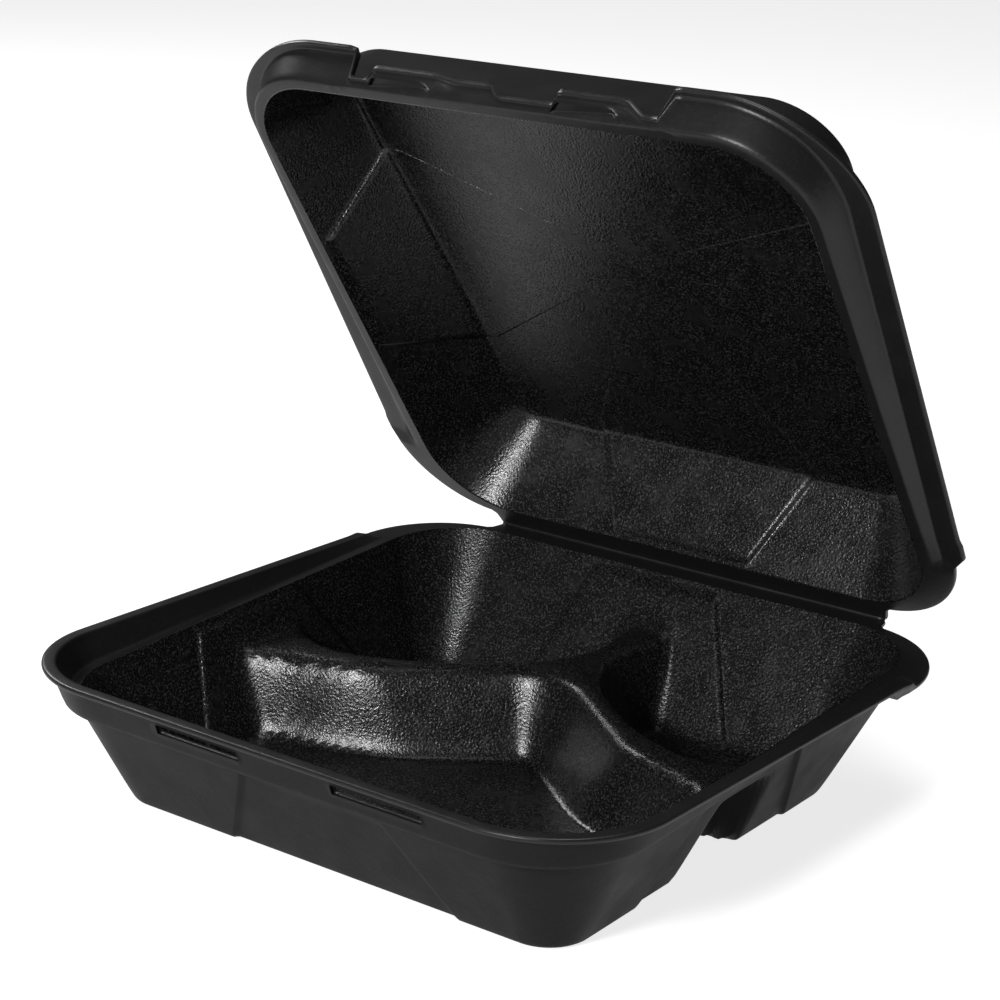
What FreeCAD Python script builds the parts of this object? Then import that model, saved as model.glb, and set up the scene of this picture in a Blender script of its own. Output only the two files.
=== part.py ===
import FreeCAD
import Part
import math
import os

from FreeCAD import Vector

# Hinged foam takeaway box: a base tray with three wells and a lid on a living hinge.
# Millimetres, +Z up.  The base stands on z = 0, X runs along the hinge, the front is -Y,
# and the origin is the middle of the tray on the resting plane.

# Sheet
SHEET = 2.2                 # foam sheet of walls and floors
RIM_SHEET = 1.8             # the rim is pressed thinner
NEST_GAP = 0.4              # air between lid rim and base rim when shut
HINGE_GAP = 0.3             # slit of the living hinge
EDGE_RADIUS = 0.8           # small corners of cut edges
CORNER_CHORDS = 8           # the leaning corners of both trays are laid out in this many facets
BEND_CHORDS = 4             # and the bends of the dividers in this many

# Overall
DEPTH = 230.6               # hinge line to the front edge of the base rim
LIP_HALF = 117.5            # half width of the base rim
HINGE_Z = 49.0              # height of the base rim and of the hinge line
HINGE_Y = DEPTH / 2 + HINGE_GAP
OPEN_ANGLE = 57.3           # how far the lid stands open as modelled
SEAT_ANGLE = 2.9            # the ledge plane falls this much to the front

# Rim, measured inwards from the base rim edge
LIP_WIDTH = 4.5
COLLAR_RUN = 4.0            # how far the collar leans out over its height
LEDGE_WIDTH = 4.0
LIP_CORNER = 41.0
BACK_CORNER = 38.0
COLLAR_START = 45.0         # the base collar begins this far from the hinge line
LID_LIP_START = 40.0        # and the lid's lip this far
EAR_LENGTH = 11.0           # the plain flange goes on under the lip
EAR_REACH = 0.5             # and stands out past it
EAR_SETBACK = 6.0           # the rounded back corners stay ahead of the hinge line
HINGE_INSET = 34.5          # rim side to the end of the hinge
HINGE_CHAMFER = 1.5
FLANGE_BACK = 8.5           # width of the flange along the hinge
OPENING_CORNER = 30.0       # back corners of the opening

# Base walls: how far they lean in from the rim edge to the floor
LEAN_FRONT = 29.0
LEAN_BACK = 36.6            # from the hinge line
LEAN_SIDE = 28.0
LEAN_TAPER = 3.0            # the floor narrows this much to the back, each side
FLOOR_CORNER = 12.0
FOOT_BEVEL = 2.2            # softened edge between floors and walls

# Stiffening panels: wide at the foot of a wall, narrow at the rim
PANEL_STEP = 1.5
PANEL_FOOT_HALF = 45.0
PANEL_RIM_HALF = 25.0
PANEL_SHORT = 0.04          # share of the wall left plain below the rim
PANEL_PAST = 0.25           # the cutting block goes on past the foot by this share
PANEL_BLOCK = 12.0          # thickness of the cutting block
FRONT_SHIFT = 8.0           # the front panel sits to the right
BACK_SHIFT = -6.0           # the top of the back panel leans to the left
SIDE_SHIFT = -6.0           # the tops of the side panels lean to the front

# Divider in plan, from the origin
RIDGE_TOP = 31.0            # height of the dividers
RIDGE_RUN = 11.5            # how far a divider wall leans out to the floor
RIDGE_HALF = 4.4            # half width of the divider's top
RIDGE_CREST = 2.0           # height of the rounded shoulder along the divider's top
CREST_LEAN = 0.7            # run of that shoulder for each millimetre of its height
GROOVE_SHARE = 0.8          # the groove below keeps this share of the sheet at the sides
ARM_FRONT = -7.0            # front and back edges of the side arms
ARM_BACK = 3.0
ARM_BEND = LIP_HALF - 57.5  # the arms turn toward the stem here
ARM_END = LIP_HALF - 29.5   # the arms flare into the side walls from here
ARM_FLARE = 52.0            # the flare widens by its own length
STEM_APEX = 40.0            # where the two arms meet, on the front side
STEM_START = 48.5
STEM_END = DEPTH / 2 - 19.3
STEM_FLARE = 40.0
ARM_RADIUS = 12.0
STEM_RADIUS = 9.0

# Lid
LID_OVERHANG = 3.0          # the lid rim reaches past the base rim at the sides
LID_SHORT = 1.2             # and stays behind it at the front
LID_CUT_HALF = LIP_HALF - 60.5      # the lip is cut away between the corners at the front
LID_CORNER = 45.0
LID_HEIGHT = 33.05          # top panel above the hinge line, at the hinge
LID_FALL = 2.0              # the top panel falls this much to the front
LID_LEAN_FRONT = 26.6       # base rim edge to the top panel's edge
LID_LEAN_BACK = 29.0        # hinge line to the top panel's edge
LID_LEAN_SIDE = 20.0
LID_TAPER = 15.5            # the top panel narrows this much to the hinge, each side
LID_TOP_BACK_CORNER = 12.0
LID_TOP_FRONT_CORNER = 22.0

# Latch
TAB_CENTRE = 4.0            # the pair of tabs sits a little to the right
TAB_PITCH = 70.0
TAB_WIDTH = 33.0
TAB_DEPTH = 6.3             # tab plate below the rim plane when shut
TAB_THICK = 1.6
TAB_ROOT = 4.0              # the tab plate reaches back into the lid rim
TAB_RADIUS = 1.1
TAB_SHY = 0.35              # the tab tips clear the base rim while the lid swings
SLOT_CLEAR = 0.8            # slot beyond the tab at each end and above and below
WINDOW_HEIGHT = 2.2         # slit left in the lid rim under each tab
WINDOW_MARGIN = 5.0         # the slit is shorter than the tab by this, at each end

RIM_STEP = LIP_WIDTH + COLLAR_RUN + LEDGE_WIDTH     # rim edge to well edge
BASE_RIM = HINGE_Z - NEST_GAP                       # top of the base lip
LID_RIM = HINGE_Z + NEST_GAP / 2                    # underside of the lid's lip when shut
FAR = 30.0                                          # cutting blocks stand out this far
REACH = 400.0                                       # longer than anything here


def hinge_plane(tilt_deg, lift=0.0):
    """Placement of a plane through the hinge line: local X is X, local Y runs to the front."""
    turn = FreeCAD.Rotation(Vector(1, 0, 0), tilt_deg)
    flip = FreeCAD.Rotation(Vector(1, 0, 0), 180)
    rot = turn.multiply(flip)
    normal = rot.multVec(Vector(0, 0, -1))
    return FreeCAD.Placement(Vector(0, HINGE_Y, HINGE_Z).add(normal * lift), rot)


def level(z):
    """Placement of a level plane at height z, in the same local axes as hinge_plane."""
    return FreeCAD.Placement(Vector(0, HINGE_Y, z), FreeCAD.Rotation(Vector(1, 0, 0), 180))


def rounded(points, plane, chords=0):
    """Closed wire through (x, y, radius) corners: one arc per corner, or a few even chords."""
    count = len(points)
    starts, ends, mids, centres = [], [], [], []
    for i, (x, y, r) in enumerate(points):
        here = Vector(x, y, 0)
        back = Vector(*points[i - 1][:2], 0).sub(here).normalize()
        ahead = Vector(*points[(i + 1) % count][:2], 0).sub(here).normalize()
        half = back.getAngle(ahead) / 2
        run = r / math.tan(half)
        middle = back.add(ahead).normalize()
        starts.append(here.add(back * run))
        ends.append(here.add(ahead * run))
        mids.append(here.add(middle * (r / math.sin(half) - r)))
        centres.append(here.add(middle * (r / math.sin(half))))
    edges = []
    for i in range(count):
        if chords:
            first, last = starts[i].sub(centres[i]), ends[i].sub(centres[i])
            step = first.getAngle(last) / chords * math.copysign(1, first.cross(last).z)
            turns = [FreeCAD.Rotation(Vector(0, 0, 1), math.degrees(step) * k) for k in range(chords)]
            spots = [centres[i].add(turn.multVec(first)) for turn in turns] + [ends[i]]
            edges += [Part.LineSegment(a, b).toShape() for a, b in zip(spots, spots[1:])]
        else:
            edges.append(Part.Arc(starts[i], mids[i], ends[i]).toShape())
        edges.append(Part.LineSegment(ends[i], starts[(i + 1) % count]).toShape())
    wire = Part.Wire(edges)
    wire.Placement = plane
    return wire


def box_outline(half_back, half_front, back, front, r_back, r_front, plane, chords=0):
    """Rounded outline, symmetric in X, given by its distances from the hinge line."""
    corners = [(half_back, back, r_back), (half_front, front, r_front),
               (-half_front, front, r_front), (-half_back, back, r_back)]
    return rounded(corners, plane, chords)


def inset(step, plane):
    """Outline of the rim, stepped in from the base rim edge."""
    return box_outline(LIP_HALF - step, LIP_HALF - step, step, DEPTH - step,
                       BACK_CORNER - step, LIP_CORNER - step, plane)


def opening_outline(grow, plane):
    """Inner edge of the ledge, where the wells or the lid walls begin."""
    step = RIM_STEP - grow
    return box_outline(LIP_HALF - step, LIP_HALF - step, FLANGE_BACK - grow, DEPTH - step,
                       OPENING_CORNER + grow, LIP_CORNER - step, plane, CORNER_CHORDS)


def flange_outline(edge, plane):
    """Outline of the plain flange: straight along the hinge, rounded behind the rim."""
    half = LIP_HALF - HINGE_INSET
    corners = [(half, edge, EDGE_RADIUS), (half + HINGE_CHAMFER, edge + EAR_SETBACK, EDGE_RADIUS),
               (LIP_HALF + EAR_REACH, edge + EAR_SETBACK, BACK_CORNER - EAR_REACH),
               (LIP_HALF + EAR_REACH, REACH / 2, EDGE_RADIUS)]
    return rounded(corners + [(-x, y, r) for x, y, r in reversed(corners)], plane)


def loft(lower, upper):
    return Part.makeLoft([lower, upper], True, True)


def slab(wire, thickness):
    """Plate from a plane outline, thickened along the plane normal (down is positive)."""
    normal = wire.Placement.Rotation.multVec(Vector(0, 0, 1))
    return Part.Face(Part.Wire(wire.Edges)).extrude(normal * thickness)


def keep_range(shape, start, end, top=REACH):
    """Part of a shape between two distances from the hinge line, and below a height."""
    box = Part.makeBox(REACH, end - start, REACH + top, Vector(-REACH / 2, HINGE_Y - end, -REACH))
    return shape.common(box)


def on_line(line, axis, value):
    """Point of a straight line where one coordinate has the given value."""
    start, end = line
    share = (value - start[axis]) / (end[axis] - start[axis])
    return start.add(end.sub(start) * share)


def wall_panel(foot, rim, foot_shift, rim_shift, inward):
    """Block that pushes a stiffening panel into a wall: wide at the foot, narrow at the rim."""
    axis = 1 if abs(inward.x) > abs(inward.y) else 0
    feet = [on_line(foot, axis, foot_shift + side * PANEL_FOOT_HALF) for side in (-1, 1)]
    tops = [on_line(rim, axis, rim_shift + side * PANEL_RIM_HALF) for side in (-1, 1)]
    lows = [f.add(f.sub(t) * PANEL_PAST) for f, t in zip(feet, tops)]
    highs = [t.add(f.sub(t) * PANEL_SHORT) for f, t in zip(feet, tops)]
    rings = []
    for near, far in (lows, highs):
        ring = [near.add(inward * PANEL_STEP), far.add(inward * PANEL_STEP),
                far.sub(inward * PANEL_BLOCK), near.sub(inward * PANEL_BLOCK)]
        rings.append(Part.makePolygon(ring + ring[:1]))
    return loft(*rings)


def rim_line(start, end, lift):
    """Straight line between two (x, v) places of the ledge plane, v from the hinge line."""
    plane = hinge_plane(SEAT_ANGLE, lift)
    return tuple(plane.multVec(Vector(x, v, 0)) for x, v in (start, end))


def base_panels(sheet):
    """The four panel blocks of the base walls, for the outside or the inside face."""
    half = LIP_HALF - RIM_STEP + SHEET - sheet
    near, far = FLANGE_BACK - SHEET + sheet, DEPTH - RIM_STEP + SHEET - sheet
    front, back = HINGE_Y - DEPTH + LEAN_FRONT + sheet, HINGE_Y - LEAN_BACK - sheet
    wide = LIP_HALF - LEAN_SIDE - sheet
    blocks = [
        wall_panel((Vector(-wide, front, 0), Vector(wide, front, 0)), rim_line((-half, far), (half, far), 0),
                   FRONT_SHIFT, FRONT_SHIFT, Vector(0, 1, 0)),
        wall_panel((Vector(-wide, back, 0), Vector(wide, back, 0)), rim_line((-half, near), (half, near), 0),
                   0.0, BACK_SHIFT, Vector(0, -1, 0))]
    for side in (-1, 1):
        foot = (Vector(side * wide, front, 0), Vector(side * (wide - LEAN_TAPER), back, 0))
        rim = rim_line((side * half, DEPTH), (side * half, 0), 0)
        blocks.append(wall_panel(foot, rim, 0.0, SIDE_SHIFT, Vector(-side, 0, 0)))
    return blocks


def grown(corners, grow):
    """Corners of a clockwise outline moved out so that each side shifts by the same amount."""
    moved = []
    for i, (x, y, r) in enumerate(corners):
        here = Vector(x, y, 0)
        into = here.sub(Vector(*corners[i - 1][:2], 0)).normalize()
        out = Vector(*corners[(i + 1) % len(corners)][:2], 0).sub(here).normalize()
        first, second = Vector(-into.y, into.x, 0), Vector(-out.y, out.x, 0)
        spot = here.add(first.add(second) * (grow / (1 + first.dot(second))))
        moved.append((spot.x, spot.y, r))
    return moved


def ridge_outline(grow, plane):
    """Y-shaped divider in plan: two arms and a stem, flared where they meet the walls."""
    flare = ARM_END + ARM_FLARE
    right = [(RIDGE_HALF + STEM_FLARE, REACH / 2, STEM_RADIUS), (RIDGE_HALF, STEM_END, STEM_RADIUS),
             (RIDGE_HALF, STEM_START, STEM_RADIUS), (ARM_BEND, ARM_BACK, ARM_RADIUS),
             (ARM_END, ARM_BACK, ARM_RADIUS), (flare, ARM_BACK + ARM_FLARE, STEM_RADIUS),
             (flare, ARM_FRONT - ARM_FLARE, STEM_RADIUS), (ARM_END, ARM_FRONT, ARM_RADIUS),
             (ARM_BEND, ARM_FRONT, ARM_RADIUS)]
    corners = right + [(0, STEM_APEX, STEM_RADIUS)] + [(-x, y, r) for x, y, r in reversed(right)]
    return rounded([(x, HINGE_Y - y, r) for x, y, r in grown(corners, grow)], plane, BEND_CHORDS)


def ridge_solid(top_z, thinner):
    """Divider with leaning walls and a softened crest; thinner shrinks it for the groove below."""
    slope = RIDGE_RUN / (RIDGE_TOP - SHEET)
    shoulder_z = top_z - RIDGE_CREST
    foot_z = -SHEET
    crest = loft(ridge_outline(-thinner, level(shoulder_z)),
                 ridge_outline(-thinner - CREST_LEAN * RIDGE_CREST, level(top_z)))
    walls = loft(ridge_outline(slope * (shoulder_z - foot_z) - thinner, level(foot_z)),
                 ridge_outline(-thinner, level(shoulder_z)))
    return walls.fuse(crest)


def tub(sheet):
    """Solid that fills the base below the ledge: outside for sheet 0, inside for a sheet."""
    def foot(bevel, z):
        side = LIP_HALF - LEAN_SIDE - sheet - bevel
        return box_outline(side - LEAN_TAPER, side, LEAN_BACK + sheet + bevel,
                           DEPTH - LEAN_FRONT - sheet - bevel, FLOOR_CORNER - bevel, FLOOR_CORNER - bevel,
                           level(z), CORNER_CHORDS)
    lift = 0.0 if sheet else -RIM_SHEET / 2
    rim = opening_outline(SHEET - sheet, hinge_plane(SEAT_ANGLE, lift))
    wall_foot = foot(0.0, sheet + FOOT_BEVEL)
    body = loft(wall_foot, rim).fuse(loft(foot(FOOT_BEVEL, sheet), wall_foot))
    for block in base_panels(sheet):
        body = body.cut(block)
    return body


def make_base():
    """Tray with three wells: one moulded sheet with ledge, collar, lip and hinge flange."""
    seat = hinge_plane(SEAT_ANGLE)
    seat_step = LIP_WIDTH + COLLAR_RUN
    outside = tub(0.0).cut(ridge_solid(RIDGE_TOP - SHEET, SHEET * GROOVE_SHARE))
    inside = tub(SHEET).cut(ridge_solid(RIDGE_TOP, 0.0))

    ledge = slab(inset(seat_step - RIM_SHEET, seat), RIM_SHEET)
    ledge = keep_range(ledge, COLLAR_START, REACH)
    flange = keep_range(slab(flange_outline(HINGE_GAP / 2, seat), RIM_SHEET), 0, COLLAR_START + RIM_SHEET)
    ear = flange_outline(HINGE_GAP / 2, hinge_plane(SEAT_ANGLE, HINGE_Z))
    ear = keep_range(slab(ear, HINGE_Z + RIM_SHEET), COLLAR_START, COLLAR_START + EAR_LENGTH, BASE_RIM)

    rim = level(BASE_RIM)
    collar = loft(inset(seat_step - RIM_SHEET, hinge_plane(SEAT_ANGLE, -RIM_SHEET)),
                  inset(LIP_WIDTH - RIM_SHEET, rim))
    lip = slab(inset(0.0, rim), RIM_SHEET)
    band = keep_range(collar.fuse(lip), COLLAR_START, REACH)
    hollow = loft(inset(seat_step, seat), inset(LIP_WIDTH, rim))
    hollow = hollow.fuse(slab(inset(LIP_WIDTH, level(BASE_RIM + FAR)), FAR))

    body = outside.fuse([ledge, flange, ear, band])
    body = body.cut(keep_range(hollow, COLLAR_START - FAR, REACH)).cut(inside)
    mouth = slab(opening_outline(0.0, hinge_plane(SEAT_ANGLE, FAR)), FAR)
    body = body.cut(mouth)
    for centre in tab_centres():
        body = body.cut(latch_block(centre, SLOT_CLEAR, DEPTH - RIM_STEP, DEPTH + SHEET))
    return body.removeSplitter()


def tab_centres():
    return [TAB_CENTRE - TAB_PITCH / 2, TAB_CENTRE + TAB_PITCH / 2]


def latch_block(centre, clear, start, end):
    """Flat bar along X for a tab, or for its slot when grown by the clearance."""
    wide, tall = TAB_WIDTH + 2 * clear, TAB_THICK + 2 * clear
    corner = Vector(centre - wide / 2, HINGE_Y - end, HINGE_Z - TAB_DEPTH - tall / 2)
    bar = Part.makeBox(wide, end - start, tall, corner)
    upright = [e for e in bar.Edges if abs(e.BoundBox.ZLength - tall) < TAB_SHY / FAR]
    return bar.makeFillet(TAB_RADIUS, upright)


def collar_face(z):
    """How far the front collar's inner face is from the hinge line at height z."""
    low = DEPTH - LIP_WIDTH - COLLAR_RUN
    low_z = HINGE_Z - low * math.sin(math.radians(SEAT_ANGLE))
    return low + COLLAR_RUN * (z - low_z) / (BASE_RIM - low_z)


def lid_top(sheet, bevel, lift):
    """Outline of the lid's top panel."""
    grow = sheet - bevel
    half = LIP_HALF - LID_LEAN_SIDE + grow
    return box_outline(half - LID_TAPER, half, LID_LEAN_BACK - grow, DEPTH - LID_LEAN_FRONT + grow,
                       LID_TOP_BACK_CORNER + grow, LID_TOP_FRONT_CORNER + grow, hinge_plane(LID_FALL, lift),
                       CORNER_CHORDS)


def lid_tray(sheet):
    """Solid below the lid's top panel: inside for sheet 0, outside for a sheet."""
    rim = opening_outline(sheet - NEST_GAP, hinge_plane(SEAT_ANGLE, NEST_GAP))
    edge = lid_top(sheet, 0.0, LID_HEIGHT + sheet - FOOT_BEVEL)
    top = lid_top(sheet, FOOT_BEVEL, LID_HEIGHT + sheet)
    body = loft(rim, edge).fuse(loft(edge, top))
    for block in lid_panels(sheet):
        body = body.cut(block)
    return body


def lid_panels(sheet):
    """Panel blocks of the lid's back and side walls, wide at the top panel."""
    grow = sheet - NEST_GAP
    half, near = LIP_HALF - RIM_STEP + grow, FLANGE_BACK - grow
    wide = LIP_HALF - LID_LEAN_SIDE + sheet
    back, front = LID_LEAN_BACK - sheet, DEPTH - LID_LEAN_FRONT + sheet
    plane = hinge_plane(LID_FALL, LID_HEIGHT + sheet - FOOT_BEVEL)

    def top_line(start, end):
        return tuple(plane.multVec(Vector(x, v, 0)) for x, v in (start, end))

    foot = top_line((-wide, back), (wide, back))
    rim = rim_line((-half, near), (half, near), NEST_GAP)
    blocks = [wall_panel(foot, rim, 0.0, 0.0, Vector(0, -1, 0))]
    for side in (-1, 1):
        foot = top_line((side * wide, front), (side * (wide - LID_TAPER), back))
        rim = rim_line((side * half, DEPTH), (side * half, 0), NEST_GAP)
        blocks.append(wall_panel(foot, rim, 0.0, 0.0, Vector(-side, 0, 0)))
    return blocks


def make_lid():
    """Lid built shut over the base, then swung open about the hinge line."""
    seat = hinge_plane(SEAT_ANGLE, NEST_GAP)
    seat_step = LIP_WIDTH + COLLAR_RUN + NEST_GAP
    cap_step = LIP_WIDTH + NEST_GAP
    inner = lid_tray(0.0)
    outer = lid_tray(SHEET)

    ledge = keep_range(slab(inset(seat_step, seat), -RIM_SHEET), LID_LIP_START, REACH)
    flange = keep_range(slab(flange_outline(HINGE_GAP / 2, seat), -RIM_SHEET), 0, LID_LIP_START)
    riser = slab(flange_outline(HINGE_GAP / 2, seat), -HINGE_Z)
    riser = keep_range(riser, LID_LIP_START - RIM_SHEET, LID_LIP_START, LID_RIM + RIM_SHEET)

    rim = level(LID_RIM)
    rise = loft(inset(seat_step, seat), inset(cap_step, rim))
    cap = slab(inset(cap_step, rim), -RIM_SHEET)
    lip = slab(box_outline(LIP_HALF + LID_OVERHANG, LIP_HALF + LID_OVERHANG, 0.0, DEPTH - LID_SHORT,
                           BACK_CORNER, LID_CORNER, rim), -RIM_SHEET)
    lip = lip.cut(Part.makeBox(2 * LID_CUT_HALF, FAR, REACH,
                               Vector(-LID_CUT_HALF, HINGE_Y - DEPTH + cap_step - FAR, 0)))
    band = keep_range(rise.fuse([cap, lip]), LID_LIP_START - RIM_SHEET / 2, REACH)
    hollow = loft(inset(seat_step + RIM_SHEET, hinge_plane(SEAT_ANGLE, NEST_GAP + RIM_SHEET)),
                  inset(cap_step + RIM_SHEET, level(LID_RIM + 2 * RIM_SHEET)))
    body = band.fuse(riser).cut(hollow).fuse([ledge, flange, outer]).cut(inner)
    mouth = slab(opening_outline(-NEST_GAP, hinge_plane(SEAT_ANGLE, -FAR)), -FAR - NEST_GAP)
    body = body.cut(mouth)
    slot_top = HINGE_Z - TAB_DEPTH + TAB_THICK / 2 + SLOT_CLEAR
    tip = collar_face(slot_top) - TAB_SHY
    window_z = HINGE_Z - TAB_DEPTH - TAB_THICK / 2 - WINDOW_HEIGHT
    for centre in tab_centres():
        body = body.fuse(latch_block(centre, 0.0, tip - TAB_ROOT, tip))
        start = centre - TAB_WIDTH / 2 + WINDOW_MARGIN
        window = Part.makeBox(TAB_WIDTH - 2 * WINDOW_MARGIN, RIM_STEP, WINDOW_HEIGHT,
                              Vector(start, HINGE_Y - DEPTH, window_z))
        body = body.cut(window)
    body = body.removeSplitter()
    body.rotate(Vector(0, HINGE_Y, HINGE_Z), Vector(-1, 0, 0), OPEN_ANGLE)
    return body


def main():
    os.makedirs("parts", exist_ok=True)
    for name, build in (("base_tray", make_base), ("lid", make_lid)):
        shape = build()
        print(name, "solids", len(shape.Solids), "valid", shape.isValid(),
              "volume", round(shape.Volume), "faces", len(shape.Faces))
        if len(shape.Solids) == 1:
            shape = shape.Solids[0]
        shape.exportStep("parts/" + name + ".step")


main()
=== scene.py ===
# %% [markdown]
# # A hinged foam takeaway box, dressed
#
# The real object is one sheet of black foam, pressed hot between two moulds.  The base
# is a tray with three wells, and the lid is a shallow dome.  Both have a stepped rim so
# that they nest when shut, and a thin bent strip at the back is the hinge.
#
# CAD has the solids.  Here the same shapes are worked out again as smooth skins, because
# a pressed sheet has soft folds that a solid model shows as sharp edges.

import bpy
import numpy as np
from mathutils import Matrix, Vector


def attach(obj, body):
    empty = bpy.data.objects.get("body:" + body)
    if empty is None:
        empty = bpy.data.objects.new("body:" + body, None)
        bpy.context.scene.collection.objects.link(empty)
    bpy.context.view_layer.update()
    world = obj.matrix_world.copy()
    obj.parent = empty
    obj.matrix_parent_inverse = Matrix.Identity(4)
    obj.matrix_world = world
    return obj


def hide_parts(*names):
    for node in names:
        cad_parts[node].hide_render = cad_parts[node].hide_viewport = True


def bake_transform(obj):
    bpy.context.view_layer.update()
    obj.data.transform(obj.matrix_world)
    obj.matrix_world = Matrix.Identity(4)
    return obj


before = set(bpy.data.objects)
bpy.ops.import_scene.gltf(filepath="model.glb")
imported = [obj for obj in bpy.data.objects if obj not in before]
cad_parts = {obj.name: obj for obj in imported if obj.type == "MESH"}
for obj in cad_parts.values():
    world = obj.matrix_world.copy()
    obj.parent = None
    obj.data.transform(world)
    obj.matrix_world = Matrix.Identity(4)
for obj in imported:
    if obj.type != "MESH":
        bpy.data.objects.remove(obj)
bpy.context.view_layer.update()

# %% [markdown]
# ## Where the camera stood
#
# The photograph looks down at the box from its front right corner.  The place and the
# turn of the camera were worked out from the rim's corners, so the render can be laid
# over the photograph.  The camera comes first, because all details are judged in it.

# %% Camera
YAW, PITCH, ROLL = np.radians([36.2, 16.8, 2.0])
LENS, CAMERA_PLACE = 90.21, (0.459, -0.6272, 0.3359)    # millimetres on a 36 mm sensor, and metres
look = np.array([-np.sin(YAW) * np.cos(PITCH), np.cos(YAW) * np.cos(PITCH), -np.sin(PITCH)])
level_right = np.array([np.cos(YAW), np.sin(YAW), 0.0])
level_up = np.cross(level_right, look)
right = np.cos(ROLL) * level_right + np.sin(ROLL) * level_up
up = -np.sin(ROLL) * level_right + np.cos(ROLL) * level_up

camera = bpy.data.objects.new("camera", bpy.data.cameras.new("camera"))
bpy.context.scene.collection.objects.link(camera)
camera.data.sensor_width = 36.0
camera.data.lens = LENS
camera.data.clip_start, camera.data.clip_end = 0.05, 40.0
camera.matrix_world = Matrix([[*row, place] for row, place in
                              zip(np.stack([right, up, -look], axis=1), CAMERA_PLACE)]
                             + [[0.0, 0.0, 0.0, 1.0]])
bpy.context.scene.camera = camera
print("camera looks along", look.round(3))

# %% [markdown]
# ## Sizes
#
# Everything is written in millimetres and turned into metres when a mesh is made.  The
# hinge line runs along X at the back of the rim, and many sizes are measured from it.

# %% Sizes of the sheet, the rim and the hinge
HINGE_Y, HINGE_Z = 115.6, 49.0      # hinge line
SHEET, RIM_SHEET = 2.2, 1.8         # walls and floors, and the pressed rim
RIM_STEP = 12.5                     # rim edge to the edge of the wells
BASE_RIM = 48.6                     # top of the base lip
LID_GAP = 0.4                       # air between the nested rims
LID_RIM = 49.2                      # underside of the lid's lip when shut
SEAT_FALL = np.tan(np.radians(2.9))  # the ledge falls to the front
LID_FALL = np.tan(np.radians(2.0))   # so does the lid's top panel
OPEN = np.radians(57.3)             # the lid stands open by this much


def seat_z(y):
    """Height of the ledge: a plane through the hinge line that falls to the front."""
    return HINGE_Z - (HINGE_Y - y) * SEAT_FALL


# %% [markdown]
# ## Soft steps
#
# A pressed sheet has no sharp edges.  These small formulas blend two values: they follow
# the larger or the smaller one and round the change between them.  A fillet made by a
# bevel tool would need an edge to follow, and here most edges fade out along the way.

# %% Soft steps
def ramp(value, soft):
    """Zero below 0 and the value itself above 0, rounded over a length of about soft."""
    return (value + np.sqrt(value ** 2 + soft ** 2)) / 2


def ease(value, low, high):
    """Smooth step from 0 at low to 1 at high."""
    share = np.clip((value - low) / (high - low), 0.0, 1.0)
    return share * share * (3 - 2 * share)


def soft_max(a, b, soft):
    """The larger of two heights, with a fillet where they cross."""
    near = np.clip(soft - np.abs(a - b), 0.0, None) / soft
    return np.maximum(a, b) + near ** 2 * soft / 4


def round_in(a, b, radius):
    """Distance inside two walls at once, with the corner between them rounded."""
    near = np.hypot(np.clip(radius - a, 0, None), np.clip(radius - b, 0, None))
    return radius - near + np.clip(np.minimum(a, b) - radius, 0, None)


def round_out(a, b, radius):
    """Distance beyond a bend that two walls make, with the bend rounded."""
    return np.where((a > -radius) & (b > -radius),
                    np.hypot(np.clip(a + radius, 0, None), np.clip(b + radius, 0, None)) - radius,
                    np.maximum(a, b))


print("a step is", ease(0.5, 0.0, 1.0), "at its middle, and 1 mm inside both walls of a 2 mm corner is",
      round_in(1.0, 1.0, 2.0).round(3), "mm inside the corner")

# %% [markdown]
# ## The divider
#
# A Y-shaped ridge splits the tray into a wide front well and two back wells.  It could
# be three separate bars, but on the real tray it is one fold of the sheet, so it is a
# height: every place in the tray knows how far it is from the ridge's top edge, and the
# ridge falls away evenly with that distance.  Inner corners are round at the top and
# tight at the floor, and bends the other way round, which gives the long bright
# streaks that narrow or widen downwards.

# %% Divider
RIDGE_TOP = 31.0
RIDGE_SLOPE = 28.8 / 11.5           # height lost for each millimetre away from the crest
WELL_CORNER, BEND = 18.5, 8.0       # radii at the ridge's top edge
CREST_TOP, CREST_EDGE = RIDGE_TOP + 0.6, 2.3    # inside skin: height and softness of its edge
FOOT_FILLET, GROOVE_FILLET = 7.0, 5.0           # soft foot inside, and along the groove below
INSIDE_RIDGE = (CREST_TOP, 0.0, CREST_EDGE)
UNDER_RIDGE = (RIDGE_TOP - SHEET, 0.8 * SHEET, 1.6)


def ridge_gap(x, y):
    """Distance from the ridge's top edge into the nearest well; negative on the ridge.

    Each well is a set of straight walls.  The distance to each wall is a plain dot
    product, and round_in and round_out join them.
    """
    side = np.abs(x)
    slant_left = 0.6167 * x - 0.7872 * (y - 40.0)
    slant_right = -0.6167 * x - 0.7872 * (y - 40.0)
    front = round_out(-7.0 - y, round_in(slant_left, slant_right, WELL_CORNER), BEND)
    front = round_in(front, -(side - 88.0 + y + 7.0) / np.sqrt(2), WELL_CORNER)
    back = round_in(y - 3.0, 0.6333 * (side - 60.0) + 0.7739 * (y - 3.0), WELL_CORNER)
    back = round_in(back, side - 4.4, WELL_CORNER)
    back = round_in(back, (y - 3.0 - (side - 88.0)) / np.sqrt(2), WELL_CORNER)
    back = round_in(back, 0.9334 * (side - 4.4) - 0.359 * (y - 96.0), WELL_CORNER)
    return np.maximum(front, back)


def ridge_height(x, y, top, thinner, edge):
    """Height of the ridge: level on top, then falling evenly with the distance."""
    return top - RIDGE_SLOPE * ramp(ridge_gap(x, y) + thinner, edge)


print("ridge at its middle", ridge_height(0.0, 44.0, *INSIDE_RIDGE).round(2),
      "and the groove below it", ridge_height(0.0, 44.0, *UNDER_RIDGE).round(2))

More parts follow.
